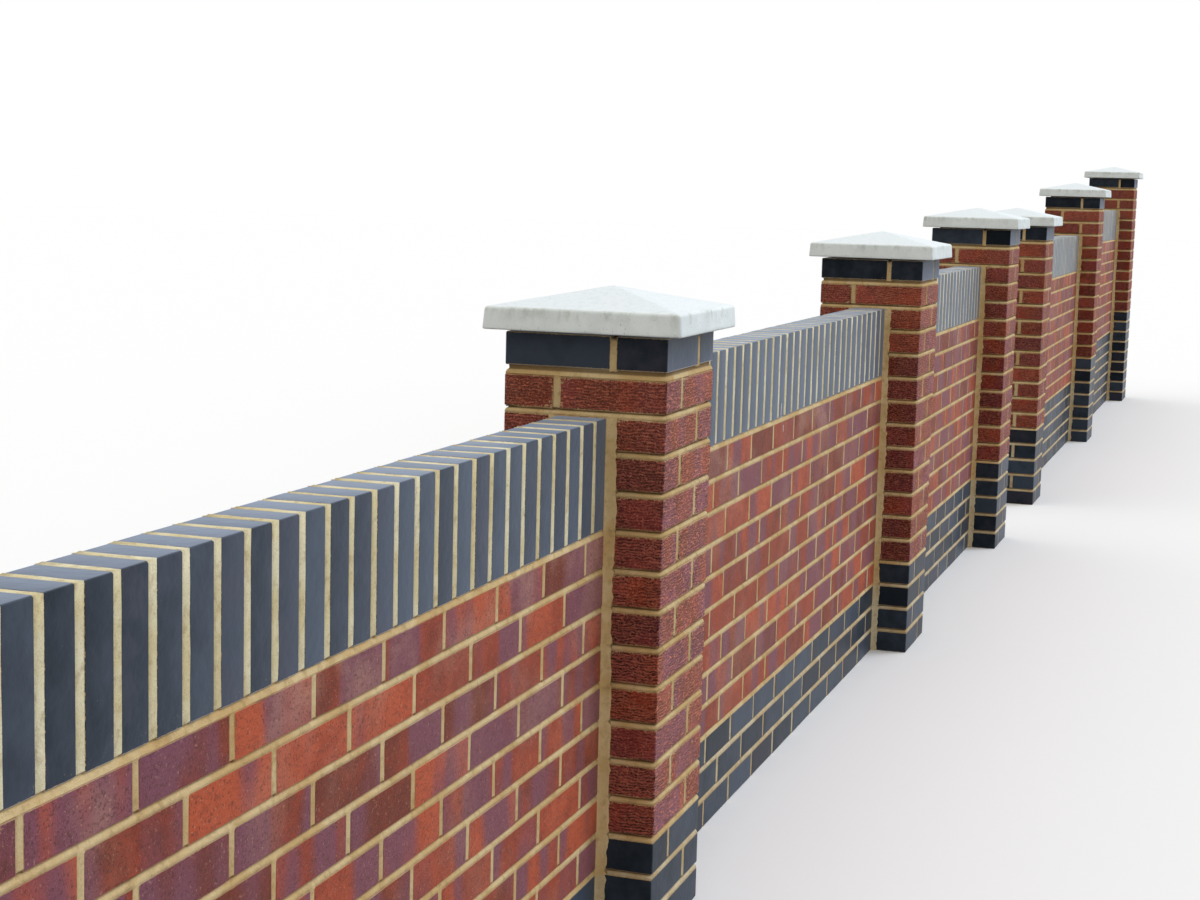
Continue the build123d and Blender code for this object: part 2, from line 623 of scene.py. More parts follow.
def mortar_colour(finish, sand, pale):
    """Sand and lime, cloudy over a hand's width and grainy close up."""
    clouds = finish.grain(finish.spot, 9.0, 3.0, 0.6)
    grains = finish.grain(finish.spot, 700.0, 2.0, 0.7)
    dirt = finish.grain(finish.spot, 55.0, 4.0, 0.65)
    mixed = finish.mix(finish.step(clouds, 0.36, 0.64), sand, pale)
    mixed = finish.mix(finish.step(dirt, 0.48, 0.74, 0.0, 0.45), mixed, MORTAR_DARK)
    return finish.mix(finish.step(grains, 0.50, 0.68, 0.0, 0.35), mixed, MORTAR_DARK), grains


def mortar_finish(name, sand, pale):
    finish = Finish(name, 0.95, 1.35)
    colour, grains = mortar_colour(finish, sand, pale)
    # Painted shade: the deeper the mortar lies, the darker it is painted
    painted_joint_shade = finish.step(finish.note("joint_gap", "Fac"), 0.0032, 0.0064, 0.0, 0.7)
    finish.colour(finish.mix(painted_joint_shade, colour, MORTAR_PAINTED_SHADE))
    trowel = finish.grain(finish.spot, 120.0, 3.0, 0.6)
    finish.relief(finish.plus(finish.times(trowel, 1.6), grains), 0.0009)
    return finish.material


def smeared(finish, colour, reach, amount):
    """The brick's colour with mortar crept over its arrises, up to reach metres."""
    ragged = finish.grain(finish.spot, 210.0, 4.0, 0.7)
    edge = finish.step(ragged, 0.36, 0.72, 0.0004, reach)
    bare = finish.sums("SUBTRACT", finish.note("joint_gap", "Fac"), edge)
    share = finish.step(bare, 0.0, 0.0008, amount, 0.0)
    return finish.mix(share, colour, mortar_colour(finish, *BUFF)[0])


# %% [markdown]
# ### Red facing bricks
# Each brick comes out of the kiln with its own red. Where bricks covered each other the
# fire left upright plum bands, the flashing. A finish for each of a dozen reds would be
# long. Here one finish reads the luck of each brick, which moves it along a row of reds.
# The clouds that make the bands are drawn tall and narrow, and start at a different spot
# in each brick.


# %% Fired clay
def kiln_colours(finish, reds, plum, share, strength):
    """A red of its own for each brick, with plum bands over this share of its face."""
    luck = finish.parts(finish.note("brick_luck"))
    start = finish.vectors("SCALE", finish.note("brick_luck"))
    start.node.inputs["Scale"].default_value = 40.0
    place = finish.note("brick_place")
    clouds = finish.grain(finish.vectors("ADD", place, start), 16.0, 2.5, 0.6)
    own = finish.plus(luck[0], finish.swing(clouds, 1.1))
    body = finish.mix(finish.step(own, 0.05, 0.55), reds[0], reds[1])
    body = finish.mix(finish.step(own, 0.5, 1.05), body, reds[2])
    tall = finish.vectors("ADD", finish.vectors("MULTIPLY", place, (9.5, 9.5, 1.6)), start)
    bands = finish.grain(tall, 1.0, 1.0, 0.4)
    level = finish.swing(luck[1], 0.14)
    above = finish.sums("SUBTRACT", bands, finish.plus(level, 0.58 - share * 0.16))
    flash = finish.step(above, -0.08, 0.09, 0.0, strength)
    return finish.mix(flash, body, plum)


def specked(finish, colour, scale, share, amount, speck, stretch=(1, 1, 1)):
    """The colour with specks of another, over about this share of it."""
    place = finish.vectors("MULTIPLY", finish.spot, stretch)
    spots = finish.grain(place, scale, 2.0, 0.6)
    return finish.mix(finish.step(spots, 0.70 - share, 0.78 - share, 0.0, amount), colour, speck)


# %% [markdown]
# The piers are built of rustic bricks. A wire was dragged across the wet clay and tore it
# into wavy ridges along the face, about 6 mm apart and 1 to 2 mm deep. Real ridges in the
# mesh would take millions of faces, so they are relief, with painted shade in the hollows
# and painted highlights on the crests. A sine wave up the face gives the comb, clouds bend
# and tear it, and a rougher cloud is mixed in. Mortar that was pressed over the arris stays
# in the hollows.
#
# The long faces of the wall catch more light than those that look along it, so light is
# painted on them: they are painted redder and paler, their specks stronger and their
# flashing plainer. The true normal of the mesh, before any relief, tells one from the
# other. The upper courses are painted lighter, for the light from above.


# %% Rustic bricks of the piers
RIDGE_PITCH = 0.0060
RIDGE_DEPTH = 0.0036
COMB_SHARE = 0.22


def rustic_finish(name):
    finish = Finish(name, 0.62, 1.28)
    finish.dust(0.66, (1.0, 0.48, 0.36), 0.36)
    geometry = finish.tree.nodes.new("ShaderNodeNewGeometry")
    faces_out = finish.sums("ABSOLUTE", finish.parts(geometry.outputs["True Normal"])[1])

    # Painted light: the long faces catch more light, so they get the larger value
    def painted_light_by_face(along_wall, long_face):
        """One value on the faces that look along the wall, another on the long faces."""
        return finish.step(faces_out, 0.5, 0.9, along_wall, long_face)

    reds = (shade(114, 38, 25), shade(148, 54, 36), shade(180, 80, 54))
    # Painted reflection: the flashing shows more on the long faces, as daylight would show it
    colour = kiln_colours(finish, reds, shade(102, 62, 114), 0.52, painted_light_by_face(0.15, 1.0))
    swells = finish.drawn_out((30, 30, 14), 2.0)
    tears = finish.drawn_out((34, 70, 90), 3.0, 0.7)
    lifted = finish.plus(finish.swing(swells, 0.012), finish.times(tears, 0.016))
    height = finish.plus(finish.parts(finish.spot)[2], lifted)
    comb = finish.sums("SINE", finish.times(height, 2 * math.pi / RIDGE_PITCH))
    comb = finish.step(comb, -1.0, 1.0)
    torn = finish.drawn_out((34, 70, 230), 3.0, 0.72)
    ridge = finish.plus(finish.times(comb, COMB_SHARE), finish.times(torn, 1 - COMB_SHARE))
    patch = finish.vectors("ADD", finish.spot, finish.note("brick_luck"))
    rough = finish.step(finish.grain(patch, 14.0, 1.0), 0.36, 0.54, 0.5, 1.0)
    # Painted shade in the hollows of the ridges
    hollow_shade = finish.step(ridge, 0.48, 0.41, 0.0, 0.9)
    colour = finish.mix(finish.times(hollow_shade, rough), colour, shade(56, 20, 15))
    # Painted highlight on the crests of the ridges
    crest_highlight = finish.step(ridge, 0.54, 0.62, 0.0, 0.4)
    colour = finish.mix(finish.times(crest_highlight, rough), colour, shade(216, 134, 108))
    # Painted light: the long faces are painted redder and paler
    colour = finish.mix(painted_light_by_face(0.0, 0.14), colour, shade(196, 84, 54))
    # Painted light: lighter towards the top, for the light that falls there from above
    lit_from_above = finish.step(finish.up_the_piece, 0.5, 1.0, 0.0, 0.16)
    colour = finish.mix(lit_from_above, colour, shade(206, 116, 86))
    along = (0.35, 1, 1)
    # The specks are the clay's own; their stronger amount on the long faces is painted light
    colour = specked(finish, colour, 230.0, 0.13, painted_light_by_face(0.65, 0.85), shade(60, 22, 17), along)
    colour = specked(finish, colour, 190.0, 0.14, painted_light_by_face(0.45, 1.0), shade(226, 134, 104), along)
    colour = specked(finish, colour, 150.0, -0.05, 0.9, shade(224, 210, 196))
    finish.colour(smeared(finish, colour, 0.0052, 0.9))
    raised = finish.step(ridge, 0.32, 0.68)
    finish.relief(finish.times(raised, rough), RIDGE_DEPTH)
    return finish.material


# %% [markdown]
# The bays are of a smoother brick with a fine sanded face, and the same flashing. Lime
# that the rain washes out of the coping leaves a pale bloom on the courses under it. It
# could be painted on the mesh, but here a broad cloud and the height do it.


# %% Sanded bricks of the bays
def sanded_finish(name):
    finish = Finish(name, 0.60, 1.25)
    finish.dust(0.38, (1.0, 0.53, 0.40))
    reds = (shade(108, 36, 21), shade(152, 55, 31), shade(192, 84, 50))
    colour = kiln_colours(finish, reds, shade(120, 70, 92), 0.38, 0.95)
    bloom = finish.grain(finish.spot, 4.5, 3.0, 0.6)
    most = finish.step(finish.up_the_piece, 0.82, 0.97, 0.2, 0.5)
    colour = finish.mix(finish.step(bloom, 0.48, 0.68, 0.0, most), colour, shade(196, 150, 132))
    folds = finish.drawn_out((50, 50, 150), 3.0, 0.6)
    colour = finish.mix(finish.step(folds, 0.52, 0.70, 0.0, 0.35), colour, shade(84, 34, 26))
    colour = specked(finish, colour, 210.0, 0.13, 0.62, shade(66, 30, 27))
    colour = specked(finish, colour, 190.0, 0.06, 0.50, shade(206, 156, 130))
    sand = finish.grain(finish.spot, 700.0, 3.0, 0.7)
    finish.colour(smeared(finish, colour, 0.0013, 0.6))
    finish.relief(finish.plus(sand, finish.times(folds, 1.5)), 0.0010)
    return finish.material


# %% [markdown]
# ### Blue engineering bricks
# Blue bricks are fired hard with little air, and come out dense and satin smooth. Their
# clay is nearly black: the pale blue along the wall is daylight, reflected at a low angle.
# A pale paint would look chalky from the front. So the colour is dark, and the gloss
# with a film of dust does the rest. The index of refraction is low, because a weathered
# skin reflects less than glass from the front. The plinth has a copy of this finish with
# a lighter clay and almost no dust, which makes its long faces darker along the wall.


# %% Blue bricks
def blue_finish(name, dust, dark, pale, reach):
    """Dense clay between a dark and a pale tone, with mortar smeared up to reach metres."""
    finish = Finish(name, 0.38, 1.14)
    finish.shader.inputs["Specular Tint"].default_value = (0.85, 0.93, 1.0, 1.0)
    finish.dust(dust, (0.60, 0.73, 1.0), 0.42)
    luck = finish.parts(finish.note("brick_luck"))
    place = finish.vectors("ADD", finish.note("brick_place"), finish.note("brick_luck"))
    clouds = finish.grain(place, 16.0, 3.0, 0.6)
    own = finish.plus(luck[0], finish.swing(clouds, 1.2))
    colour = finish.mix(finish.step(own, 0.0, 1.1), dark, pale)
    purple = finish.step(finish.plus(luck[1], clouds), 1.2, 1.5, 0.0, 0.6)
    colour = finish.mix(purple, colour, shade(56, 52, 62))
    colour = specked(finish, colour, 300.0, -0.03, 0.35, shade(150, 156, 160))
    finish.colour(smeared(finish, colour, reach, 0.75))
    skin = finish.grain(finish.spot, 60.0, 4.0, 0.5)
    finish.relief(skin, 0.0005)
    return finish.material


# %% [markdown]
# ### Mix them
# Each finish is mixed once and shared by all the pieces that need it, so a change of
# colour is made in one place.

# %% Mix the finishes
BED_MORTAR = mortar_finish("buff_mortar", *BUFF)
COPING_MORTAR = mortar_finish("pale_buff_mortar", *PALE_BUFF)
PLINTH_MORTAR = mortar_finish("grey_buff_mortar", *GREY_BUFF)
RUSTIC = rustic_finish("rustic_red_brick")
SANDED = sanded_finish("sanded_red_brick")
BLUE = blue_finish("blue_engineering_brick", 0.76, shade(18, 23, 28), shade(63, 71, 84), 0.0024)
PLINTH_BLUE = blue_finish("plinth_blue_brick", 0.05, shade(34, 41, 49), shade(66, 76, 91), 0.0014)
print("finishes:", [m.name for m in bpy.data.materials])

# %% [markdown]
# ## Piers
# A pier is one and a half bricks square. Each course is a pinwheel of four bricks that
# chase each other round a small middle, and the next course turns the other way, so no
# upright joint stands over another. An array modifier could repeat two courses, but then
# every third one would be a copy of the first. The courses are laid in a loop instead,
# and counted down from the top blue one, which lies on a thick bed close under the cap.

# %% Courses and the pinwheel
PINWHEEL = (
    (0.0, BRICK_LENGTH, 0.0, BRICK_WIDTH),
    (STRETCHER, PIER_WIDTH, 0.0, BRICK_LENGTH),
    (PIER_WIDTH - BRICK_LENGTH, PIER_WIDTH, STRETCHER, PIER_WIDTH),
    (0.0, BRICK_WIDTH, PIER_WIDTH - BRICK_LENGTH, PIER_WIDTH),
)
PIER_JOINTS = (BRICK_WIDTH + JOINT / 2, PIER_WIDTH - BRICK_WIDTH - JOINT / 2)
BAND_LIFT = 0.006
print("upright joints of a pier at", PIER_JOINTS)


def courses_between(low_z, high_z, top_z):
    """(bottom, top, turned) of each course between two heights. Courses count from top_z."""
    courses = []
    count = round((top_z - low_z) / COURSE) + 1
    for step in range(count):
        top = top_z - step * COURSE
        bottom = top - BRICK_HEIGHT
        if bottom > low_z - SLACK and top < high_z + SLACK:
            courses.append((bottom, top, step % 2 == 1))
    return courses


def bed_heights(courses):
    """The middle of each level joint under and over these courses."""
    return {round(z, 5) for b, t, _ in courses for z in (b - JOINT / 2, t + JOINT / 2)}


def in_face(x0, x1, y0, y1):
    """The sides of a brick that lie in a face of its pier."""
    depths = {(0, 0): x0, (0, 1): PIER_WIDTH - x1, (1, 0): y0, (1, 1): PIER_WIDTH - y1}
    return [side for side, depth in depths.items() if depth < SLACK]


# %% Lay one piece of a pier
LONG_CELLS, SHORT_CELLS = 6, 3
ROUGH_CELLS, SMOOTH_CELLS = 10, 3
AROUND = ((0, 0), (0, 1), (1, 0), (1, 1))


def lay_pier_piece(node, top_z, slot, brick_finish, mortar=BED_MORTAR):
    """Builds one piece of a pier. The tops of all its courses follow from top_z."""
    low, high = solid_box(node)
    under_cap = node.endswith("_band")
    rough = slot == "red_brick"
    up_cells, worn = (ROUGH_CELLS, SOFT_WEAR) if rough else (SMOOTH_CELLS, HARD_WEAR)
    pile = Pile(node + "_brickwork")
    courses = courses_between(low[2], high[2], top_z)
    near, far = PIER_JOINTS
    uprights = []
    for bottom, top, turned in courses:
        if under_cap:
            bottom, top = bottom + BAND_LIFT, top + BAND_LIFT
        for x0, x1, y0, y1 in PINWHEEL:
            if turned:
                x0, x1, y0, y1 = y0, y1, x0, x1
            along_x = x1 - x0 > y1 - y0
            cells = (LONG_CELLS, SHORT_CELLS) if along_x else (SHORT_CELLS, LONG_CELLS)
            foot = (low[0] + x0, low[1] + y0, bottom)
            head = (low[0] + x1, low[1] + y1, top)
            lay_brick(pile, foot, head, (*cells, up_cells), in_face(x0, x1, y0, y1), worn)
        # Opposite faces have their upright joint at opposite ends
        one, other = (near, far) if turned else (far, near)
        uprights.append((1, 0, 0, low[0] + one, bottom, top))
        uprights.append((1, 1, 0, low[0] + other, bottom, top))
        uprights.append((0, 1, 1, low[1] + one, bottom, top))
        uprights.append((0, 0, 1, low[1] + other, bottom, top))
    beds = bed_heights(courses)
    if under_cap:
        beds.add(round(low[2] + JOINT / 2, 5))
    beds = sorted(beds)
    sides = [
        cut_lines(low[k], high[k], [low[k] + near, low[k] + far], FINE_CELL) for k in (0, 1)
    ]
    lines = (*sides, cut_lines(low[2], high[2], beds, WIDE_CELL, BED_LINES))
    mortar_body(pile, low, high, AROUND, lines, beds, uprights, bare_top=under_cap)
    finish_pile(pile, node, (mortar, brick_finish))


# %% Build the piers
for number in PIERS:
    pier = f"pier_{number}"
    band_top = solid_box(pier + "_band")[1][2] - JOINT
    lay_pier_piece(pier + "_band", band_top, "blue_brick", BLUE)
    lay_pier_piece(pier + "_shaft", band_top, "red_brick", RUSTIC)
    lay_pier_piece(pier + "_plinth", band_top, "blue_brick", PLINTH_BLUE, PLINTH_MORTAR)

# %% [markdown]
# ## Bays
# Between the piers stand a plinth, a panel and a coping. First come two details that lie
# on top of them: struck corners, and runs of lime.
#
# ### Struck corners
# Where a bay meets a pier, the corner is filled with mortar and struck to a slope. It
# covers about 20 mm of the pier's rough face, with a ragged edge. A bevelled curve could
# make it, but would be even all the way. So a bent section is dragged up the corner, a
# little wider here and narrower there, with painted shade along its edges and a painted
# shadow where it crosses a joint.

# %% Section of a struck corner
FROM_PIER = np.array([15, 11.5, 9, 6.5, 4.5, 3.2, 2.2, -2.5]) / 1000
FROM_BAY = np.array([-2.0, 0.3, 2.5, 7, 11.5, 15.5, 18, 18.5]) / 1000
# Painted shade: depths that only darken the finish, strongest at both edges of the strip
CORNER_SHADE_DEPTHS = np.array([4.5, 3.0, 1.0, 1.0, 1.0, 1.0, 3.2, 7.0]) / 1000
SHADOW_SHARES = np.array([0, 0, 0.4, 0.7, 1, 1, 1, 0])
SHADOW, SHADOW_REACH = 0.0032, 0.007
ROW_HEIGHT = 0.011
BED_ROWS = np.array([-0.004, 0.003, 0.008])
MOST_COURSES_DOWN, MOST_COURSES_UP = 12, 4
SECTION_ROUGH, EDGE_ROUGH, SLOPE_ROUGH = 0.0009, 0.0013, 0.0004
SWELL, SWELLS_PER_METRE = 0.12, 9
print("points across a struck corner:", len(FROM_PIER))


# %% Strike the corners
def corner_mortar(pile, low, high, bed, slot=MORTAR):
    """Adds the struck mortar in the four corners between one bay piece and its piers.

    The pier has a level joint at the height of bed, and at each course up and down from it.
    """
    rows = max(2, round((high[2] - low[2]) / ROW_HEIGHT))
    heights = np.linspace(low[2], high[2], rows + 1)
    courses = np.arange(-MOST_COURSES_DOWN, MOST_COURSES_UP)
    beds = bed + COURSE * courses[:, None] + BED_ROWS
    beds = beds[(beds > low[2] + SLACK) & (beds < high[2] - SLACK)]
    heights = heights[np.abs(heights[:, None] - beds).min(axis=1, initial=1.0) > 2 * SLACK]
    heights = np.unique(np.concatenate([[low[2], high[2]], heights, beds]))
    from_bed = np.abs((heights - bed - BED_ROWS[1] + COURSE / 2) % COURSE - COURSE / 2)
    shadow = SHADOW * np.clip(1 - from_bed / SHADOW_REACH, 0, 1)
    for pier_x, away in ((low[0], 1.0), (high[0], -1.0)):
        for face_y, outward in ((low[1], -1.0), (high[1], 1.0)):
            strip = []
            slow = 1 + SWELL * np.sin(heights * SWELLS_PER_METRE + pile.rng.uniform(0, 6))
            for z, swell in zip(heights, slow):
                from_pier, from_bay = FROM_PIER.copy(), FROM_BAY * swell
                from_bay[3:] += pile.rng.normal(0, SECTION_ROUGH, len(from_bay) - 3)
                from_bay[5:] += pile.rng.normal(0, EDGE_ROUGH)
                from_pier[1:5] += pile.rng.normal(0, SLOPE_ROUGH, 4)
                x = pier_x + away * from_pier
                y = face_y + outward * from_bay
                strip.append(np.stack([x, y, np.full(len(x), z)], axis=1))
            number = np.arange(len(heights) * len(FROM_PIER)).reshape(len(heights), -1)
            faces = sheet_faces(number.T)
            if away * outward > 0:
                faces = faces[:, ::-1]
            # Painted shade along the edges, and painted shadow where the strip crosses a joint
            depth = CORNER_SHADE_DEPTHS + shadow[:, None] * SHADOW_SHARES
            pile.add(np.concatenate(strip), faces, slot, gap=depth.ravel())


# %% [markdown]
# ### Runs of lime
# Water that gets into the top of a wall washes lime out of the mortar, and it dries white
# on the front face. Two such runs show on the second bay. They could be painted in the
# finish, but a crust has a thickness that catches the light. So each is a thin tongue
# with uneven sides and a crest one millimetre in front of the bricks.

# %% Runs of lime
LIME = mortar_finish("lime", shade(222, 222, 226), shade(240, 240, 242))
LIME_SHAPE = np.array([0.3, 0.8, 1.0, 0.7, 0.5, 0.6, 0.45, 0.4, 0.2])
LIME_CREST = 0.0010
LIME_SWAY = 0.12
# Where along the wall, how wide, and from which height down to which
LIME_RUNS = {
    "bay_2_coping": (-3.307, 0.006, 0.939, 0.900),
    "bay_2_panel": (-3.276, 0.004, 0.879, 0.861),
}
print("runs of lime on:", *LIME_RUNS)


def lime_run(pile, node, face_y, slot):
    """Adds the run of lime on this piece, if it has one, and hands back its material."""
    if node not in LIME_RUNS:
        return ()
    x, width, top, bottom = LIME_RUNS[node]
    heights = np.linspace(top, bottom, len(LIME_SHAPE))
    half = width / 2 * LIME_SHAPE
    sway = pile.rng.normal(0, width * LIME_SWAY, len(heights))
    rows = [
        [(x + s - h, face_y, z), (x + s, face_y - LIME_CREST, z), (x + s + h, face_y, z)]
        for z, h, s in zip(heights, half, sway)
    ]
    faces = sheet_faces(np.arange(3 * len(heights)).reshape(-1, 3))
    pile.add(np.concatenate(rows), faces, slot, gap=np.zeros(3 * len(heights)))
    return (LIME,)


# %% [markdown]
# ### Stretcher bond
# A bay is as thick as one brick is wide. Each course is half a brick out of step with
# the next: from the top red course down, every other one starts and ends with half a
# brick. Each face could get a thin skin of its own, but here one whole brick shows on
# both faces, as the real one does.

# %% Bricks of a course
def stretcher_course(x0, x1, halves):
    """Start and end of each brick of one course between two piers."""
    bricks = []
    x = x0 + JOINT
    first = BRICK_WIDTH if halves else BRICK_LENGTH
    while x < x1 - JOINT:
        length = min(first if not bricks else BRICK_LENGTH, x1 - JOINT - x)
        bricks.append((x, x + length))
        x += length + JOINT
    return bricks


# %% Lay the panels and their plinths
BOTH_FACES = ((1, 0), (1, 1))
WHOLE_CELLS, HALF_CELLS = (6, 1, 2), (3, 1, 2)
LEAST_WHOLE = 0.15
BAY_STRUCK = 0.8


def lay_bay_piece(node, top_z, brick_finish, mortar=BED_MORTAR):
    """Builds a panel or the plinth below it. The top red course of the bay is at top_z."""
    low, high = solid_box(node)
    pile = Pile(node + "_brickwork")
    courses = courses_between(low[2], high[2], top_z)
    uprights = []
    for bottom, top, turned in courses:
        bricks = stretcher_course(low[0], high[0], not turned)
        for x0, x1 in bricks:
            cells = WHOLE_CELLS if x1 - x0 > LEAST_WHOLE else HALF_CELLS
            lay_brick(pile, (x0, low[1], bottom), (x1, high[1], top), cells, BOTH_FACES)
        for x0, _ in bricks[1:]:
            for side in (0, 1):
                uprights.append((1, side, 0, x0 - JOINT / 2, bottom, top))
    beds = sorted(bed_heights(courses))
    joints = sorted({round(u[3], 5) for u in uprights})
    lines = (
        cut_lines(low[0], high[0], joints, WIDE_CELL),
        np.array([low[1], high[1]]),
        cut_lines(low[2], high[2], beds, WIDE_CELL, BED_LINES),
    )
    mortar_body(pile, low, high, BOTH_FACES, lines, beds, uprights, struck=BAY_STRUCK)
    corner_mortar(pile, low, high, top_z + JOINT / 2)
    lime = lime_run(pile, node, low[1], EXTRA)
    finish_pile(pile, node, (mortar, brick_finish, *lime))


# %% [markdown]
# ## Copings
# Each bay is finished with a course of blue bricks on end, soldiers. Their narrow sides
# show at the front and back, and their ends make the top of the wall, with mortar across
# between them.
#
# That mortar is nearly flush and lies over the arrises, so the joints look wider than
# they are. A smear in the finish reaches only as far as the rounded arris. So the bricks
# are drawn three millimetres narrower at the same spacing, and the mortar wider.


# %% Stand the soldiers
FLUSH = 0.3
COPING_STRUCK = 0.7
SOLDIER_JOINT = 0.013
WIDER = SOLDIER_JOINT / JOINT
SOLDIER_CELLS = (2, 3, 6)
print("joint between soldiers:", SOLDIER_JOINT)


def lay_coping(node):
    """Builds the course of bricks on end along the top of one bay."""
    low, high = solid_box(node)
    pile = Pile(node + "_brickwork")
    bottom, bed = low[2] + JOINT, low[2] + JOINT / 2
    starts = np.arange(low[0] + JOINT, high[0] - JOINT, COURSE)
    open_sides = (*BOTH_FACES, (2, 1))
    spare = (SOLDIER_JOINT - JOINT) / 2
    for x in starts:
        head = (x + BRICK_HEIGHT - spare, high[1], high[2])
        lay_brick(pile, (x + spare, low[1], bottom), head, SOLDIER_CELLS, open_sides)
    joints = [x - JOINT / 2 for x in starts[1:]]
    uprights = [(1, side, 0, x, bottom, high[2]) for x in joints for side in (0, 1)]
    uprights += [(2, 1, 0, x, bottom, high[2]) for x in joints]
    lines = (
        cut_lines(low[0], high[0], joints, WIDE_CELL, JOINT_LINES * WIDER),
        np.linspace(low[1], high[1], 5),
        cut_lines(low[2], high[2], [bed], FINE_CELL, BED_LINES),
    )
    mortar_body(
        pile, low, high, open_sides, lines, [bed], uprights, COPING_STRUCK, FLUSH, WIDER
    )
    body, slots = pile.points[-1], pile.slots[-1]
    middles = body[pile.faces[-1] - (pile.count - len(body))].mean(axis=1)
    slots[middles[:, 2] < bottom] = EXTRA
    corner_mortar(pile, low, high, bed, EXTRA)
    lime = lime_run(pile, node, low[1], EXTRA + 1)
    finish_pile(pile, node, (COPING_MORTAR, BLUE, BED_MORTAR, *lime))


# %% Build the bays
for number in BAYS:
    bay = f"bay_{number}"
    panel_top = solid_box(bay + "_panel")[1][2]
    lay_coping(bay + "_coping")
    lay_bay_piece(bay + "_panel", panel_top, SANDED)
    lay_bay_piece(bay + "_plinth", panel_top, PLINTH_BLUE, PLINTH_MORTAR)

# %% [markdown]
# ## Cast concrete caps
# The caps were cast upside down in a mould, so their tops are smooth and their arrises
# are rounded where the mould was. Underneath, a drip groove runs near the edge. A cube
# with bevels would be quick, but every cap would be as crisp as the next. So a section
# of half widths and heights is drawn first, from the middle underneath, round the edge
# and up to the peak.

# %% Measures of a cap
CAP_HALF, CAP_SHOULDER, CAP_PEAK = 0.200, 0.197, 0.006
CAP_EDGE, CAP_TOP = 0.044, 0.084
CAP_ROUNDING, FOOT_ROUNDING, TOP_ROUNDING = 0.007, 0.003, 0.004
TOP_ABOVE = CAP_EDGE + 0.001
CAP_DRAFT = CAP_HALF - CAP_SHOULDER
CAP_SLOPE = (CAP_TOP - CAP_EDGE) / (CAP_SHOULDER - CAP_PEAK)
print("slope of a cap:", round(math.degrees(math.atan(CAP_SLOPE)), 1), "degrees")


# %% Draw the section of a cap
def rounded_bend(before, corner, after, radius, count):
    """Points of an arc that replaces a corner between two straight lines."""
    before, corner, after = (np.array(p) for p in (before, corner, after))
    back = (before - corner) / np.linalg.norm(before - corner)
    on = (after - corner) / np.linalg.norm(after - corner)
    half_angle = math.acos(float(np.dot(back, on))) / 2
    centre = corner + (back + on) / np.linalg.norm(back + on) * radius / math.sin(half_angle)
    start = corner + back * radius / math.tan(half_angle) - centre
    end = corner + on * radius / math.tan(half_angle) - centre
    turn = math.acos(float(np.dot(start, end)) / radius**2)
    arc = []
    for share in np.linspace(0, 1, count):
        blend = math.sin((1 - share) * turn) * start + math.sin(share * turn) * end
        arc.append(centre + blend / math.sin(turn))
    return arc


DRIP = [(0.1795, 0.0), (0.1805, 0.0045), (0.184, 0.005), (0.1875, 0.0045), (0.1885, 0.0)]
SIDE_HEIGHTS = (0.008, 0.014, 0.020, 0.026, 0.032)
SLOPE_HALVES = (0.176, 0.155, 0.13, 0.105, 0.08, 0.055, 0.035, 0.02)
at_foot, at_shoulder, at_peak = (CAP_HALF, 0.0), (CAP_SHOULDER, CAP_EDGE), (CAP_PEAK, CAP_TOP)

underside = [(0.002, 0.0), (0.09, 0.0), *DRIP, (0.196, 0.0)]
lower_arris = rounded_bend((0.15, 0.0), at_foot, at_shoulder, FOOT_ROUNDING, 4)
side_rows = [(CAP_HALF - CAP_DRAFT * z / CAP_EDGE, z) for z in SIDE_HEIGHTS]
shoulder = rounded_bend(at_foot, at_shoulder, at_peak, CAP_ROUNDING, 7)
slope_rows = [(w, CAP_TOP - (w - CAP_PEAK) * CAP_SLOPE) for w in SLOPE_HALVES]
peak = [(0.012, CAP_TOP - 0.0016), (CAP_PEAK, CAP_TOP - 0.0007), (0.002, CAP_TOP - 0.0003)]
CAP_SECTION = [*underside, *lower_arris, *side_rows, *shoulder, *slope_rows, *peak]
print("cap section:", len(CAP_SECTION), "rings")


# %% [markdown]
# Each point of the section becomes a ring, like a pot on a wheel that has corners. A
# screw modifier turns a section too, but only round a circle. One side and one bend of
# the ring are made, and turned three times by a quarter.


# %% Turn a point of the section into a ring
QUARTER_TURN = np.array([[0, -1], [1, 0]])
STRAIGHT_POINTS, BEND_STEPS = 14, 4
ROUNDEST = 0.9


def square_ring(half, corner):
    """Points round a square with rounded corners, as X and Y."""
    corner = min(corner, half * ROUNDEST)
    inner = half - corner
    side = [(half, y) for y in np.linspace(-inner, inner, STRAIGHT_POINTS)]
    angles = np.linspace(0, math.pi / 2, BEND_STEPS + 1)[1:-1]
    bend = [(inner + corner * math.cos(a), inner + corner * math.sin(a)) for a in angles]
    points = np.array(side + bend)
    turns = [np.linalg.matrix_power(QUARTER_TURN, quarter) for quarter in range(4)]
    return np.concatenate([points @ turn.T for turn in turns])


# %% [markdown]
# No cast is quite true. The foot lost a few crumbs when the mould came off, the top
# settled in shallow waves and the sides swelled a little. The waves of each cap start
# elsewhere, and all of them take concrete away, so no cap grows past its solid.


# %% Cast a cap
FOOT_HEIGHT, FOOT_HALF = 0.006, 0.194
CRUMB_SHAPE, CRUMB_SIZE = 0.7, 0.0006
TOP_WAVES, WAVES_ALONG, WAVES_ACROSS = 0.0005, 21, 17
SIDE_WAVES, WAVES_UP = 0.0012, 60
WAVES_ABOVE = 0.02


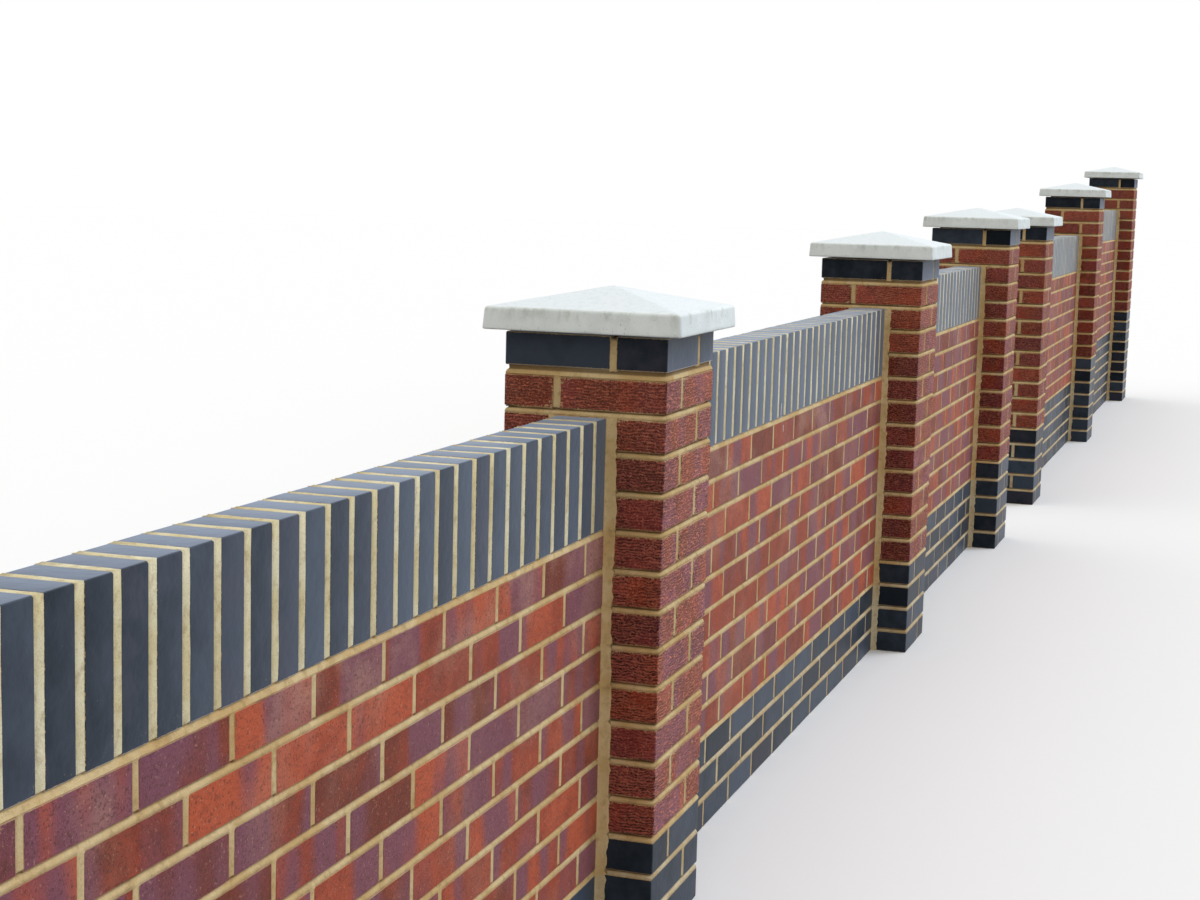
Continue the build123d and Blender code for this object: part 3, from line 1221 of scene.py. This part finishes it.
def cast_cap(node, concrete):
    """Builds one cap in place of its solid."""
    low, high = solid_box(node)
    rng = np.random.default_rng(zlib.crc32(node.encode()))
    rings = []
    for half, z in CAP_SECTION:
        soft = CAP_ROUNDING if z < TOP_ABOVE else TOP_ROUNDING
        xy = square_ring(half, soft)
        rings.append(np.column_stack([xy, np.full(len(xy), z)]))
    points = np.concatenate(rings)
    number = np.arange(len(points)).reshape(len(rings), -1)
    faces = sheet_faces(np.column_stack([number, number[:, 0]]).T)
    at_edge = (points[:, 2] < FOOT_HEIGHT) & (np.abs(points[:, :2]).max(axis=1) > FOOT_HALF)
    crumbs = at_edge * rng.gamma(CRUMB_SHAPE, CRUMB_SIZE, len(points))
    points[:, :2] *= 1 - (crumbs / CAP_HALF)[:, None]
    along = np.sin(points[:, 0] * WAVES_ALONG + rng.uniform(0, 6))
    across = np.sin(points[:, 1] * WAVES_ACROSS + rng.uniform(0, 6))
    points[:, 2] -= TOP_WAVES * (1 + along * across) * (points[:, 2] > WAVES_ABOVE)
    swelling = np.sin(points[:, 2:] * WAVES_UP + rng.uniform(0, 6))
    points[:, :2] *= 1 - SIDE_WAVES * (1 + swelling) / 2
    centre = np.array([(low[0] + high[0]) / 2, (low[1] + high[1]) / 2, low[2]])
    mesh = quad_mesh(node + "_cast", points + centre, faces, np.zeros(len(faces)), (concrete,))
    finish_piece(mesh, node)


# %% [markdown]
# The caps are nearly white on top, where rain keeps them clean. Their sides are painted
# a little paler than the top, as painted light, since the sides get less light. Below the
# shoulder the sides have cloudy grey-green stains, strongest under the arris, and small air
# pits. Two finishes would meet in a hard line at the shoulder, so one blends by its height.


# %% Cast concrete
def concrete_finish(name):
    finish = Finish(name, 0.85, 1.40)
    height = finish.up_the_piece
    clouds = finish.grain(finish.spot, 12.0, 4.0, 0.6)
    mottle = finish.grain(finish.spot, 70.0, 4.0, 0.65)
    smudges = finish.drawn_out((38, 38, 18), 5.0, 0.68)
    mottled = finish.step(mottle, 0.42, 0.75, 0.0, 0.6)
    top = finish.mix(mottled, shade(234, 240, 246), shade(220, 227, 233))
    # Painted light: the sides are painted paler than the top, for the light that they lack
    side = finish.mix(finish.step(clouds, 0.35, 0.65), shade(240, 246, 248), shade(230, 236, 238))
    below_arris = finish.step(height, 0.12, 0.50, 0.1, 1.0)
    stain = finish.times(finish.step(smudges, 0.44, 0.72), below_arris)
    side = finish.mix(finish.times(stain, 0.6), side, shade(180, 184, 174))
    colour = finish.mix(finish.step(height, 0.49, 0.57), side, top)
    pits = finish.grain(finish.spot, 330.0, 1.5, 0.5)
    pitted = finish.step(pits, 0.69, 0.75)
    colour = finish.mix(finish.times(pitted, 0.55), colour, shade(120, 122, 114))
    finish.colour(colour)
    finish.relief(finish.sums("SUBTRACT", finish.times(mottle, 0.8), pitted), 0.0008)
    return finish.material


# %% Build the caps
CONCRETE = concrete_finish("cast_concrete")
for number in PIERS:
    cast_cap(f"pier_{number}_cap", CONCRETE)
print("caps cast:", len(PIERS))
